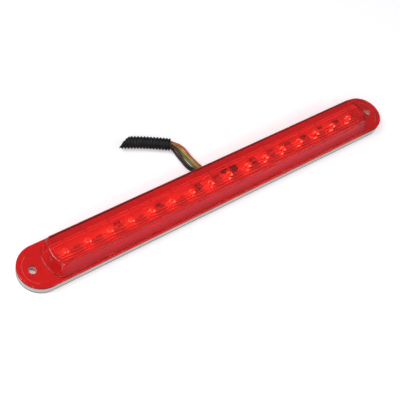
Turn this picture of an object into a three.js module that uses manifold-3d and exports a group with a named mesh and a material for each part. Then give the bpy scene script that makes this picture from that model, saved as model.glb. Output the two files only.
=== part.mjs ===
// High-level brake light: a long red LED strip lamp with a clear red lens, a pale tray, a foam
// gasket and a five-core lead in split conduit. Millimetres, +Z up. The origin is the centre of
// the mounting face (the underside of the gasket), +X runs along the lamp, +Y is its rear side.

import * as THREE from 'three';
import { mergeVertices } from 'three/addons/utils/BufferGeometryUtils.js';
import Module from 'manifold-3d';

const wasm = await Module();
wasm.setup();

// Overall size
const LAMP_LENGTH = 380;
const LAMP_WIDTH = 38.5;
const LAMP_HEIGHT = 23.4;
const HALF_LENGTH = LAMP_LENGTH / 2;
const EAR_RADIUS = LAMP_WIDTH / 2;
const EAR_CENTRE_X = HALF_LENGTH - EAR_RADIUS;
const STACK_GAP = 0.1;

// Heights of the clamped layers, from the mounting face up
const GASKET_TOP = 2.4;
const TRAY_BOTTOM = GASKET_TOP + STACK_GAP;
const TRAY_TOP = 7.6;
const TRAY_FLOOR = 4.3;
const FLANGE_BOTTOM = TRAY_TOP + STACK_GAP;
const FLANGE_THICKNESS = 2.4;
const FLANGE_TOP = FLANGE_BOTTOM + FLANGE_THICKNESS;
const FLANGE_EDGE_ROUND = 0.6;

// Raised body of the lens: its foot on the flange, and its top face before rounding
const FOOT = { halfLength: 167.5, halfWidth: 17, endRadius: 24, cornerRadius: 4 };
const CROWN = { halfLength: 163.6, halfWidth: 13.9, endRadius: 20, cornerRadius: 2.8 };
const CROWN_EDGE_ROUND = 1.8;
const CROWN_EDGE_STEPS = 4;
const LENS_WALL = 2.1;
const LENS_CEILING = LAMP_HEIGHT - 2.2;

// Lengthwise optical flutes under the lens top: triangular ribs, at these distances across
const FLUTE_YS = [-10.2, -7.8, -5.4, -3, 4.1, 6.4];
const FLUTE_HALF_WIDTH = 0.8;
const FLUTE_DEPTH = 0.6;

// Mounting slots through the ears, their long side across the lamp
const SLOT_X = 178.3;
const SLOT_WIDTH = 5.8;
const SLOT_LENGTH = 7.2;
const TRAY_SLOT_EXTRA = 0.6;
const GASKET_SLOT_EXTRA = 1.6;

// Locating rib under each ear of the lens, in a groove of the tray
const RIB_RADIUS = 14.7;
const RIB_HALF_WIDTH = 0.4;
const RIB_DEPTH = 0.7;
const RIB_HALF_ANGLE = Math.PI / 3;
const GROOVE_CLEARANCE = 0.3;

// Tray pocket, seal and circuit board, all of one outline family
const POCKET = { halfLength: 164.6, halfWidth: 14.4, endRadius: 24, cornerRadius: 4 };
const SEAL = { halfLength: 166.6, halfWidth: 16.2, endRadius: 24, cornerRadius: 4 };
const SEAL_HALF_WIDTH = 0.8;
const SEAL_BOTTOM = 6.4;
const SEAL_TOP = 7.5;
const BOARD = { halfLength: 163.4, halfWidth: 11.6, endRadius: 24, cornerRadius: 2 };
const BOARD_BOTTOM = 5.8;
const BOARD_TOP = 7.4;
const BOSS_RADIUS = 3.2;
const BOSS_TOP = BOARD_BOTTOM - STACK_GAP;
const PILOT_BOTTOM = 3.3;
const PILOT_RADIUS = 1.5;
const SUPPORT_XS = [-120, -80, -40, 40, 80, 120];
const SUPPORT_WIDTH = 1.6;
const SUPPORT_HALF_DEPTH = 9;

// Board screws
const SCREW_X = 160;
const SCREW_HEAD_RADIUS = 2.7;
const SCREW_HEAD_HEIGHT = 1.9;
const SCREW_SHANK_RADIUS = 1.2;
const SCREW_HOLE_RADIUS = 1.6;
const SCREW_TIP = 3.6;
const RECESS_ARM = 2.9;
const RECESS_WIDTH = 0.7;
const RECESS_DEPTH = 1;

// Light-emitting diodes, one row along the middle
const LED_COUNT = 16;
const LED_PITCH = 20;
const LED_RADIUS = 2.5;
const LED_FLANGE_RADIUS = 2.9;
const LED_FLANGE_HEIGHT = 1;
const LED_HEIGHT = 8.6;

// Axial parts between the diodes: [x, y] of each, and their body sizes
const RESISTOR_PLACES = [[-100, 5], [-20, 5.5], [0, 5], [40, 5.5], [60, 5], [80, 5], [120, 5]];
const RECTIFIER_PLACES = [[-60, 4], [-20, 1.5], [40, 1.5], [100, 4], [140, 4]];
const RESISTOR_RADIUS = 1.2;
const RESISTOR_HALF_LENGTH = 3.2;
const RECTIFIER_RADIUS = 1.35;
const RECTIFIER_HALF_LENGTH = 2.6;
const LEAD_RADIUS = 0.35;
const LEAD_REACH = 1.8;
const PART_LIFT = 0.4;

// Supply parts near the lead
const REGULATOR = { x: 20, y: 6, width: 6.4, depth: 5.8, height: 2.3 };
const REGULATOR_TAB = { depth: 1.4, height: 0.6 };
const CAPACITOR = { x: 9.9, y: 7.4, radius: 2.1, height: 5.4 };

// Where the lead leaves the tray, and the rubber bush there
const EXIT_CENTRE_X = -7.6;
const EXIT_Z = 4.9;
const BUSH_HALF_WIDTH = 7.6;
const BUSH_BOTTOM = 3.5;
const BUSH_TOP = 7.3;
const BUSH_STEP_Y = 17.3;
const BUSH_STEP_TOP = 6.2;
const BUSH_INNER_Y = 13.5;
const BUSH_OUTER_Y = 20.2;
const BUSH_LIP = 0.8;
const NOTCH_CLEARANCE = 0.2;
const TAIL_RADIUS = 0.6;
const TAIL_STEPS = 10;
const TAIL_GAP = 1;
const TAIL_CREST = EXIT_Z + 4;
const JOINT_Y = 9.4;
const JOINT_RADIUS = 1.1;
const JOINT_HEIGHT = 0.9;

// Five wires, each from the bush, over the surface and into the conduit
const WIRE_RADIUS = 1.1;
const WIRE_SIDES = 8;
const WIRE_STEPS = 18;
const WIRES = {
  black: {
    color: 0x1c1a19,
    route: [[-12.4, 20.5, 4.9], [-12.6, 23.5, 3.9], [-12.9, 26.5, 2.5], [-13.2, 30, 1.6],
      [-13.4, 33.5, 1.3], [-13.6, 37, 1.2], [-13.9, 40.5, 1.3], [-14.2, 44, 1.8],
      [-14.8, 47.5, 2.8], [-16, 50.8, 3.6], [-18.2, 53.2, 3.9], [-21.7, 55.4, 3.9],
      [-28.4, 59.4, 3.9], [-34.4, 62.8, 3.9], [-40.6, 66.1, 3.9], [-47.6, 69.5, 3.9]],
  },
  brown: {
    color: 0x5a3826,
    route: [[-10, 20.5, 4.9], [-10.1, 23.5, 3.9], [-10.5, 26.5, 2.5], [-10.8, 30, 1.6],
      [-11, 33.5, 1.3], [-11.2, 37, 1.3], [-11.6, 40.5, 1.8], [-12.2, 44, 3],
      [-13.3, 47.3, 4.8], [-15.5, 50, 6.1], [-18.4, 52.3, 6.4], [-22.1, 54.7, 6.4],
      [-28.8, 58.7, 6.4], [-34.8, 62.1, 6.4], [-41, 65.4, 6.4], [-48.6, 69.1, 6.4]],
  },
  green: {
    color: 0x5f7a30,
    route: [[-7.6, 20.5, 4.9], [-7.5, 23.5, 3.9], [-7.4, 26.5, 2.5], [-7.4, 30, 1.6],
      [-7.7, 33.5, 1.2], [-8.2, 37, 1.2], [-8.8, 40.5, 1.2], [-9.5, 44, 1.5],
      [-10.5, 47.7, 2.3], [-12.4, 51.6, 3.2], [-15.6, 54.4, 3.8], [-20.3, 57.6, 3.9],
      [-27, 61.6, 3.9], [-33.2, 65, 3.9], [-39.4, 68.3, 3.9], [-44.5, 70.9, 3.9]],
  },
  yellow: {
    color: 0xd2b04a,
    route: [[-5.2, 20.5, 4.9], [-5.1, 23.5, 4.2], [-5.2, 26.5, 3.4], [-5.5, 30, 3.1],
      [-6.1, 33.5, 3], [-6.9, 37, 3.1], [-7.7, 40.5, 3.3], [-8.5, 44, 3.8],
      [-9.5, 47.8, 4.8], [-11.4, 52, 6], [-14.6, 55.3, 6.4], [-19.9, 58.3, 6.4],
      [-26.6, 62.3, 6.4], [-32.8, 65.7, 6.4], [-39, 69, 6.4], [-43.6, 71.3, 6.4]],
  },
  orange: {
    color: 0xc86a1e,
    route: [[-2.8, 20.5, 4.9], [-2.7, 23.5, 4], [-2.9, 26.5, 2.8], [-3.2, 30, 2.4],
      [-3.8, 33.5, 2.3], [-4.5, 37, 2.6], [-5.3, 40.6, 3.9], [-6.7, 44.2, 5.7],
      [-9, 47.6, 7.1], [-12, 50.6, 8], [-15.9, 53.3, 8.1], [-21, 56.5, 8],
      [-27.7, 60.5, 7.9], [-33.8, 63.9, 7.9], [-40, 67.2, 7.9], [-46, 70.2, 7.9]],
  },
};

// Split conduit round the wires: its centre line, bore and slanted far end
const CONDUIT_RADIUS = 5.6;
const CONDUIT_BORE = 4.5;
const CONDUIT_SIDES = 24;
const CONDUIT_STEPS = 12;
const CONDUIT_ROUTE = [[-15.9, 53.4, 5.7], [-27.7, 60.5, 5.7], [-40, 67.2, 5.7], [-60, 76.8, 5.7]];
const CONDUIT_CUT_CENTRE = [-50.2, 72.4, 5.7];
const CONDUIT_CUT_ANGLE = 110;

const ROUND_SEGMENTS = 28;
const BOW_SEGMENTS = 12;
const CORNER_SEGMENTS = 5;
const CUTTER_MARGIN = 2;

// ---- helpers -------------------------------------------------------------------------------

function toSolid(geometry) {
  const bare = geometry.clone();
  bare.deleteAttribute('normal');
  bare.deleteAttribute('uv');
  const merged = mergeVertices(bare, 1e-4);
  return new wasm.Manifold(new wasm.Mesh({
    numProp: 3,
    vertProperties: new Float32Array(merged.attributes.position.array),
    triVerts: new Uint32Array(merged.index.array),
  }));
}

function toGeometry(solid) {
  const mesh = solid.getMesh();
  const geometry = new THREE.BufferGeometry();
  geometry.setAttribute('position', new THREE.BufferAttribute(mesh.vertProperties, 3));
  geometry.setIndex(new THREE.BufferAttribute(mesh.triVerts, 1));
  geometry.computeVertexNormals();
  return geometry;
}

function union(solids) {
  return solids.reduce((whole, solid) => whole.add(solid));
}

function prism(outline, zLow, zHigh) {
  const geometry = new THREE.ExtrudeGeometry(new THREE.Shape(outline), {
    depth: zHigh - zLow,
    bevelEnabled: false,
  });
  geometry.translate(0, 0, zLow);
  return toSolid(geometry);
}

function boxSolid(width, depth, height, x, y, zLow) {
  const geometry = new THREE.BoxGeometry(width, depth, height);
  geometry.translate(x, y, zLow + height / 2);
  return toSolid(geometry);
}

function postSolid(radius, zLow, zHigh, x, y, sides = 20) {
  const geometry = new THREE.CylinderGeometry(radius, radius, zHigh - zLow, sides);
  geometry.rotateX(Math.PI / 2);
  geometry.translate(x, y, (zLow + zHigh) / 2);
  return toSolid(geometry);
}

function arcPoints(x, y, radius, start, end, segments) {
  const points = [];
  for (let i = 0; i <= segments; i += 1) {
    const angle = start + ((end - start) * i) / segments;
    points.push(new THREE.Vector2(x + radius * Math.cos(angle), y + radius * Math.sin(angle)));
  }
  return points;
}

// An outline that is the same on both ends, from the points of its +X half in turning order.
function mirroredOutline(half) {
  return [...half, ...half.map((point) => point.clone().negate())];
}

// A straight-sided outline with half-round ends, its long side along X.
function stadium(length, width) {
  const radius = width / 2;
  const centreX = length / 2 - radius;
  return mirroredOutline(arcPoints(centreX, 0, radius, -Math.PI / 2, Math.PI / 2, ROUND_SEGMENTS));
}

// A straight-sided outline with bowed ends and rounded corners, grown outwards by offset.
function bowedOutline(outline, offset = 0) {
  const halfLength = outline.halfLength + offset;
  const halfWidth = outline.halfWidth + offset;
  const bow = outline.endRadius + offset;
  const corner = outline.cornerRadius + offset;
  const bowX = halfLength - bow;
  const cornerY = halfWidth - corner;
  const cornerX = bowX + Math.sqrt((bow - corner) ** 2 - cornerY ** 2);
  const turn = Math.atan2(cornerY, cornerX - bowX);
  return mirroredOutline([
    ...arcPoints(cornerX, -cornerY, corner, -Math.PI / 2, -turn, CORNER_SEGMENTS),
    ...arcPoints(bowX, 0, bow, -turn, turn, BOW_SEGMENTS).slice(1, -1),
    ...arcPoints(cornerX, cornerY, corner, turn, Math.PI / 2, CORNER_SEGMENTS),
  ]);
}

function mixOutlines(low, high, share) {
  const mixed = {};
  for (const key of Object.keys(low)) {
    mixed[key] = low[key] + (high[key] - low[key]) * share;
  }
  return mixed;
}

// Closed solid through a stack of outlines with equal point counts, each { z, outline }.
function loft(levels) {
  const count = levels[0].outline.length;
  const positions = [];
  const indices = [];
  levels.forEach(({ z, outline }, level) => {
    outline.forEach((point) => positions.push(point.x, point.y, z));
    if (level === 0) return;
    for (let i = 0; i < count; i += 1) {
      const below = (level - 1) * count;
      const next = (i + 1) % count;
      const corners = [below + i, below + next, below + count + next, below + count + i];
      indices.push(corners[0], corners[1], corners[2], corners[0], corners[2], corners[3]);
    }
  });
  const top = (levels.length - 1) * count;
  for (const [i, j, k] of THREE.ShapeUtils.triangulateShape(levels[0].outline, [])) {
    indices.push(k, j, i);
  }
  for (const [i, j, k] of THREE.ShapeUtils.triangulateShape(levels[levels.length - 1].outline, [])) {
    indices.push(top + i, top + j, top + k);
  }
  const geometry = new THREE.BufferGeometry();
  geometry.setAttribute('position', new THREE.Float32BufferAttribute(positions, 3));
  geometry.setIndex(indices);
  return toSolid(geometry);
}

function slotCutter(x, extra, zLow, zHigh) {
  const cutter = prism(stadium(SLOT_LENGTH + extra, SLOT_WIDTH + extra), zLow, zHigh);
  return cutter.rotate([0, 0, 90]).translate([x, 0, 0]);
}

function slotCutters(extra, zLow, zHigh) {
  return union([slotCutter(-SLOT_X, extra, zLow, zHigh), slotCutter(SLOT_X, extra, zLow, zHigh)]);
}

// Part of a ring round an ear's centre, on the outer side of the ear.
function earArc(side, halfWidth, zLow, zHigh) {
  const middle = side > 0 ? 0 : Math.PI;
  const start = middle - RIB_HALF_ANGLE;
  const end = middle + RIB_HALF_ANGLE;
  const outline = [
    ...arcPoints(0, 0, RIB_RADIUS + halfWidth, start, end, BOW_SEGMENTS),
    ...arcPoints(0, 0, RIB_RADIUS - halfWidth, end, start, BOW_SEGMENTS),
  ];
  return prism(outline, zLow, zHigh).translate([side * EAR_CENTRE_X, 0, 0]);
}

function tube(points, radius, sides, steps) {
  const path = new THREE.CatmullRomCurve3(points.map((point) => new THREE.Vector3(...point)));
  const section = new THREE.Shape();
  section.absarc(0, 0, radius, 0, 2 * Math.PI);
  return new THREE.ExtrudeGeometry(section, {
    steps,
    curveSegments: sides / 2,
    bevelEnabled: false,
    extrudePath: path,
  });
}

function lathe(profile, segments) {
  const points = profile.map(([radius, height]) => new THREE.Vector2(radius, height));
  const geometry = new THREE.LatheGeometry(points, segments);
  geometry.rotateX(Math.PI / 2);
  return geometry;
}

// ---- lens, seal, tray and gasket -----------------------------------------------------------

function makeLens() {
  const flange = loft([
    { z: FLANGE_BOTTOM, outline: stadium(LAMP_LENGTH, LAMP_WIDTH) },
    { z: FLANGE_TOP - FLANGE_EDGE_ROUND, outline: stadium(LAMP_LENGTH, LAMP_WIDTH) },
    {
      z: FLANGE_TOP,
      outline: stadium(LAMP_LENGTH - 2 * FLANGE_EDGE_ROUND, LAMP_WIDTH - 2 * FLANGE_EDGE_ROUND),
    },
  ]);
  const levels = [{ z: FLANGE_BOTTOM + LENS_WALL / 2, outline: bowedOutline(FOOT) }];
  levels.push({ z: FLANGE_TOP, outline: bowedOutline(FOOT) });
  const edgeStart = LAMP_HEIGHT - CROWN_EDGE_ROUND;
  const edgeShare = (edgeStart - FLANGE_TOP) / (LAMP_HEIGHT - FLANGE_TOP);
  const edgeOutline = mixOutlines(FOOT, CROWN, edgeShare);
  for (let step = 0; step <= CROWN_EDGE_STEPS; step += 1) {
    const angle = (step / CROWN_EDGE_STEPS) * (Math.PI / 2);
    const inset = CROWN_EDGE_ROUND * (1 - Math.cos(angle));
    const z = edgeStart + CROWN_EDGE_ROUND * Math.sin(angle);
    levels.push({ z, outline: bowedOutline(edgeOutline, -inset) });
  }
  const outside = flange.add(loft(levels));
  const ribs = union([-1, 1].map((side) => (
    earArc(side, RIB_HALF_WIDTH, FLANGE_BOTTOM - RIB_DEPTH, FLANGE_BOTTOM + RIB_DEPTH)
  )));
  return outside.subtract(makeLensHollow())
    .add(ribs)
    .subtract(slotCutters(0, FLANGE_BOTTOM - CUTTER_MARGIN, FLANGE_TOP + CUTTER_MARGIN));
}

// The space inside the lens, its ceiling grooved to leave the flutes standing.
function makeLensHollow() {
  const hollow = loft([
    { z: FLANGE_BOTTOM - CUTTER_MARGIN, outline: bowedOutline(FOOT, -LENS_WALL) },
    { z: FLANGE_TOP, outline: bowedOutline(FOOT, -LENS_WALL) },
    { z: LENS_CEILING, outline: bowedOutline(CROWN, -LENS_WALL) },
  ]);
  const flutes = FLUTE_YS.map((y) => {
    const shape = new THREE.Shape();
    shape.moveTo(y - FLUTE_HALF_WIDTH, LENS_CEILING + FLUTE_DEPTH);
    shape.lineTo(y - FLUTE_HALF_WIDTH, LENS_CEILING);
    shape.lineTo(y, LENS_CEILING - FLUTE_DEPTH);
    shape.lineTo(y + FLUTE_HALF_WIDTH, LENS_CEILING);
    shape.lineTo(y + FLUTE_HALF_WIDTH, LENS_CEILING + FLUTE_DEPTH);
    shape.closePath();
    const geometry = new THREE.ExtrudeGeometry(shape, { depth: LAMP_LENGTH, bevelEnabled: false });
    geometry.rotateX(Math.PI / 2);
    geometry.rotateZ(Math.PI / 2);
    geometry.translate(-HALF_LENGTH, 0, 0);
    return toSolid(geometry);
  });
  return hollow.subtract(union(flutes));
}

function makeSeal(halfWidth, zLow, zHigh) {
  const outer = prism(bowedOutline(SEAL, halfWidth), zLow, zHigh);
  const margin = CUTTER_MARGIN;
  return outer.subtract(prism(bowedOutline(SEAL, -halfWidth), zLow - margin, zHigh + margin));
}

function makeTray() {
  const block = prism(stadium(LAMP_LENGTH, LAMP_WIDTH), TRAY_BOTTOM, TRAY_TOP);
  const pocket = prism(bowedOutline(POCKET), TRAY_FLOOR, TRAY_TOP + CUTTER_MARGIN);
  const sealGroove = makeSeal(
    SEAL_HALF_WIDTH + STACK_GAP,
    SEAL_BOTTOM - STACK_GAP,
    TRAY_TOP + CUTTER_MARGIN,
  );
  const ribGrooves = union([-1, 1].map((side) => earArc(
    side,
    RIB_HALF_WIDTH + GROOVE_CLEARANCE,
    FLANGE_BOTTOM - RIB_DEPTH - GROOVE_CLEARANCE,
    TRAY_TOP + CUTTER_MARGIN,
  )));
  const notch = boxSolid(
    2 * (BUSH_HALF_WIDTH + NOTCH_CLEARANCE),
    BUSH_OUTER_Y - BUSH_INNER_Y,
    TRAY_TOP + CUTTER_MARGIN - BUSH_BOTTOM + NOTCH_CLEARANCE,
    EXIT_CENTRE_X,
    (BUSH_OUTER_Y + BUSH_INNER_Y) / 2,
    BUSH_BOTTOM - NOTCH_CLEARANCE,
  );
  const bosses = [-1, 1].map((side) => (
    postSolid(BOSS_RADIUS, TRAY_FLOOR - STACK_GAP, BOSS_TOP, side * SCREW_X, 0)
  ));
  const supports = SUPPORT_XS.map((x) => boxSolid(
    SUPPORT_WIDTH,
    2 * SUPPORT_HALF_DEPTH,
    BOSS_TOP - TRAY_FLOOR + STACK_GAP,
    x,
    0,
    TRAY_FLOOR - STACK_GAP,
  ));
  const pilots = [-1, 1].map((side) => (
    postSolid(PILOT_RADIUS, PILOT_BOTTOM, TRAY_TOP, side * SCREW_X, 0)
  ));
  return block.subtract(pocket)
    .subtract(sealGroove)
    .subtract(ribGrooves)
    .subtract(notch)
    .add(union([...bosses, ...supports]))
    .subtract(union(pilots))
    .subtract(slotCutters(TRAY_SLOT_EXTRA, 0, TRAY_TOP + CUTTER_MARGIN));
}

function makeGasket() {
  const inset = 2 * STACK_GAP;
  const pad = prism(stadium(LAMP_LENGTH - inset, LAMP_WIDTH - inset), 0, GASKET_TOP);
  return pad.subtract(slotCutters(GASKET_SLOT_EXTRA, -CUTTER_MARGIN, GASKET_TOP + CUTTER_MARGIN));
}

// ---- circuit board and what it carries -----------------------------------------------------

function makeBoard() {
  const board = prism(bowedOutline(BOARD), BOARD_BOTTOM, BOARD_TOP);
  const holes = [-1, 1].map((side) => postSolid(
    SCREW_HOLE_RADIUS,
    BOARD_BOTTOM - CUTTER_MARGIN,
    BOARD_TOP + CUTTER_MARGIN,
    side * SCREW_X,
    0,
  ));
  return board.subtract(union(holes));
}

function makeScrew(side) {
  const headBottom = BOARD_TOP + STACK_GAP;
  const headTop = headBottom + SCREW_HEAD_HEIGHT;
  const profile = [
    [0, SCREW_TIP],
    [SCREW_SHANK_RADIUS / 2, SCREW_TIP],
    [SCREW_SHANK_RADIUS, SCREW_TIP + SCREW_SHANK_RADIUS],
    [SCREW_SHANK_RADIUS, headBottom],
    [SCREW_HEAD_RADIUS, headBottom],
    [SCREW_HEAD_RADIUS, headBottom + SCREW_HEAD_HEIGHT / 2],
    [SCREW_HEAD_RADIUS * 0.8, headTop - SCREW_HEAD_HEIGHT * 0.12],
    [SCREW_HEAD_RADIUS * 0.4, headTop],
    [0, headTop],
  ];
  const screw = toSolid(lathe(profile, 20));
  const arms = [[RECESS_ARM, RECESS_WIDTH], [RECESS_WIDTH, RECESS_ARM]].map(([width, depth]) => (
    boxSolid(width, depth, RECESS_DEPTH + 1, 0, 0, headTop - RECESS_DEPTH)
  ));
  return screw.subtract(union(arms)).translate([side * SCREW_X, 0, 0]);
}

function makeLed() {
  const domeSteps = 6;
  const domeCentre = LED_HEIGHT - LED_RADIUS;
  const profile = [
    [0, 0],
    [LED_FLANGE_RADIUS, 0],
    [LED_FLANGE_RADIUS, LED_FLANGE_HEIGHT],
    [LED_RADIUS, LED_FLANGE_HEIGHT],
  ];
  for (let step = 0; step < domeSteps; step += 1) {
    const angle = (step / domeSteps) * (Math.PI / 2);
    profile.push([LED_RADIUS * Math.cos(angle), domeCentre + LED_RADIUS * Math.sin(angle)]);
  }
  profile.push([0, LED_HEIGHT]);
  return lathe(profile, 16);
}

// An axial part lying along X: a round body with a lead bent down to the board at each end.
function makeAxialPart(radius, halfLength, waist) {
  const centreZ = radius + PART_LIFT;
  const profile = [
    [0, -halfLength],
    [radius * 0.8, -halfLength],
    [radius, -halfLength * 0.85],
    [radius, -halfLength * 0.55],
    [radius * waist, -halfLength * 0.4],
    [radius * waist, halfLength * 0.4],
    [radius, halfLength * 0.55],
    [radius, halfLength * 0.85],
    [radius * 0.8, halfLength],
    [0, halfLength],
  ];
  const body = lathe(profile, 14);
  body.rotateY(Math.PI / 2);
  body.translate(0, 0, centreZ);
  const reach = halfLength + LEAD_REACH;
  const across = new THREE.CylinderGeometry(LEAD_RADIUS, LEAD_RADIUS, 2 * reach, 8);
  across.rotateZ(Math.PI / 2);
  across.translate(0, 0, centreZ);
  const legs = [-1, 1].map((side) => (
    postSolid(LEAD_RADIUS, STACK_GAP, centreZ, side * (reach - LEAD_RADIUS), 0, 8)
  ));
  return toGeometry(union([toSolid(body), toSolid(across), ...legs]));
}

function makeRegulator() {
  const { width, depth, height } = REGULATOR;
  const body = boxSolid(width, depth, height, 0, 0, STACK_GAP);
  const tabY = (depth + REGULATOR_TAB.depth) / 2;
  const tab = boxSolid(
    width * 0.8,
    REGULATOR_TAB.depth + 1,
    REGULATOR_TAB.height,
    0,
    tabY - 0.5,
    STACK_GAP,
  );
  const legs = [-1, 1].map((side) => boxSolid(
    1,
    REGULATOR_TAB.depth + 1,
    REGULATOR_TAB.height,
    side * width * 0.33,
    0.5 - tabY,
    STACK_GAP,
  ));
  return toGeometry(union([body, tab, ...legs]));
}

function makeCapacitor() {
  const { radius, height } = CAPACITOR;
  return lathe([
    [0, STACK_GAP],
    [radius * 0.95, STACK_GAP],
    [radius, height * 0.08],
    [radius * 0.92, height * 0.14],
    [radius, height * 0.2],
    [radius, height * 0.94],
    [radius * 0.9, height],
    [0, height],
  ], 20);
}

// ---- the lead ------------------------------------------------------------------------------

// Rubber bush in the tray's rear notch, stepped down under the seal, with a lip outside.
function makeBush() {
  const bushBox = (halfWidth, yLow, yHigh, zLow, zHigh) => boxSolid(
    2 * halfWidth,
    yHigh - yLow,
    zHigh - zLow,
    EXIT_CENTRE_X,
    (yLow + yHigh) / 2,
    zLow,
  );
  const inner = bushBox(BUSH_HALF_WIDTH, BUSH_INNER_Y, BUSH_STEP_Y + 1, BUSH_BOTTOM, BUSH_STEP_TOP);
  const plug = bushBox(BUSH_HALF_WIDTH, BUSH_STEP_Y, BUSH_OUTER_Y, BUSH_BOTTOM, BUSH_TOP);
  const lip = bushBox(
    BUSH_HALF_WIDTH + BUSH_LIP,
    EAR_RADIUS + STACK_GAP,
    BUSH_OUTER_Y,
    BUSH_BOTTOM - BUSH_LIP,
    BUSH_TOP,
  );
  return toGeometry(union([inner, plug, lip]));
}

// Bared end of a wire, from the bush up over the board's edge and down to its solder joint.
function makeTail() {
  const startY = BUSH_INNER_Y - TAIL_GAP;
  return tube([
    [0, startY, EXIT_Z],
    [0, startY, EXIT_Z + 1.6],
    [0, startY - 0.4, EXIT_Z + 3.2],
    [0, startY - 1.7, TAIL_CREST - 0.1],
    [0, JOINT_Y + 0.1, TAIL_CREST],
    [0, JOINT_Y, BOARD_TOP + JOINT_HEIGHT + 3 * STACK_GAP],
  ], TAIL_RADIUS, WIRE_SIDES, TAIL_STEPS);
}

function makeJoint() {
  return lathe([
    [0, STACK_GAP],
    [JOINT_RADIUS, STACK_GAP],
    [JOINT_RADIUS * 0.8, JOINT_HEIGHT * 0.4],
    [JOINT_RADIUS * 0.4, JOINT_HEIGHT * 0.85],
    [0, JOINT_HEIGHT],
  ], 14);
}

function makeConduit() {
  const outer = toSolid(tube(CONDUIT_ROUTE, CONDUIT_RADIUS, CONDUIT_SIDES, CONDUIT_STEPS));
  const start = new THREE.Vector3(...CONDUIT_ROUTE[0]);
  const heading = new THREE.Vector3(...CONDUIT_ROUTE[1]).sub(start).normalize();
  const early = start.clone().addScaledVector(heading, -CUTTER_MARGIN).toArray();
  const bore = toSolid(tube([early, ...CONDUIT_ROUTE], CONDUIT_BORE, CONDUIT_SIDES, CONDUIT_STEPS));
  const cutterSize = 60;
  const cutter = boxSolid(cutterSize, cutterSize, cutterSize, cutterSize / 2, 0, -cutterSize / 2)
    .rotate([0, 0, CONDUIT_CUT_ANGLE])
    .translate(CONDUIT_CUT_CENTRE);
  return toGeometry(outer.subtract(bore).subtract(cutter));
}

// ---- assembly ------------------------------------------------------------------------------

const lamp = new THREE.Group();

function addPiece(parent, name, geometry, color, roughness, metalness = 0, opacity = 1) {
  const material = new THREE.MeshStandardMaterial({ color, roughness, metalness });
  material.transparent = opacity < 1;
  material.opacity = opacity;
  const mesh = new THREE.Mesh(geometry, material);
  mesh.name = name;
  parent.add(mesh);
  return mesh;
}

function numbered(stem, index) {
  return `${stem}_${String(index + 1).padStart(2, '0')}`;
}

function addShell() {
  addPiece(lamp, 'lens', toGeometry(makeLens()), 0xc4181c, 0.08, 0, 0.55);
  addPiece(lamp, 'lens_seal', toGeometry(makeSeal(SEAL_HALF_WIDTH, SEAL_BOTTOM, SEAL_TOP)), 0x2a2a2a, 0.8);
  addPiece(lamp, 'housing_tray', toGeometry(makeTray()), 0xe6e2da, 0.45);
  addPiece(lamp, 'foam_gasket', toGeometry(makeGasket()), 0x9ca39b, 0.95);
}

function addBoard() {
  addPiece(lamp, 'circuit_board', toGeometry(makeBoard()), 0xd8d4c4, 0.5);
  addPiece(lamp, 'board_screw_left', toGeometry(makeScrew(-1)), 0x8a8a88, 0.35, 1);
  addPiece(lamp, 'board_screw_right', toGeometry(makeScrew(1)), 0x8a8a88, 0.35, 1);
  const populated = new THREE.Group();
  populated.position.z = BOARD_TOP;
  lamp.add(populated);
  for (let index = 0; index < LED_COUNT; index += 1) {
    const led = addPiece(populated, numbered('led', index), makeLed(), 0xff4a30, 0.1, 0, 0.7);
    led.position.set((index - (LED_COUNT - 1) / 2) * LED_PITCH, 0, STACK_GAP);
  }
  RESISTOR_PLACES.forEach(([x, y], index) => {
    const geometry = makeAxialPart(RESISTOR_RADIUS, RESISTOR_HALF_LENGTH, 0.82);
    addPiece(populated, numbered('resistor', index), geometry, 0x3f6fa8, 0.4).position.set(x, y, 0);
  });
  RECTIFIER_PLACES.forEach(([x, y], index) => {
    const geometry = makeAxialPart(RECTIFIER_RADIUS, RECTIFIER_HALF_LENGTH, 1);
    addPiece(populated, numbered('rectifier', index), geometry, 0x17171a, 0.35).position.set(x, y, 0);
  });
  addPiece(populated, 'voltage_regulator', makeRegulator(), 0x1c1c1e, 0.5)
    .position.set(REGULATOR.x, REGULATOR.y, 0);
  addPiece(populated, 'capacitor', makeCapacitor(), 0x2b2f45, 0.4)
    .position.set(CAPACITOR.x, CAPACITOR.y, 0);
}

function addLead() {
  addPiece(lamp, 'wire_bush', makeBush(), 0xc4c0b8, 0.6);
  Object.entries(WIRES).forEach(([name, { color, route }], index) => {
    const exitX = route[0][0];
    addPiece(lamp, `wire_${name}`, tube(route, WIRE_RADIUS, WIRE_SIDES, WIRE_STEPS), color, 0.45);
    addPiece(lamp, numbered('wire_tail', index), makeTail(), 0xb87333, 0.4, 1)
      .position.set(exitX, 0, 0);
    addPiece(lamp, numbered('solder_joint', index), makeJoint(), 0xc0c2c4, 0.3, 1)
      .position.set(exitX, JOINT_Y, BOARD_TOP);
  });
  addPiece(lamp, 'split_conduit', makeConduit(), 0x141415, 0.5);
}

addShell();
addBoard();
addLead();

export default lamp;
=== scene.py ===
# Looks of a high-level brake light: clear red lens with moulded flutes over a pale tray, a row of
# diodes on a board, a foam gasket, and a five-core lead that runs into a piece of split conduit.
# Sizes are millimetres times MM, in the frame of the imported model.

import math

import bmesh
import bpy
from mathutils import Matrix, Vector


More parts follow.
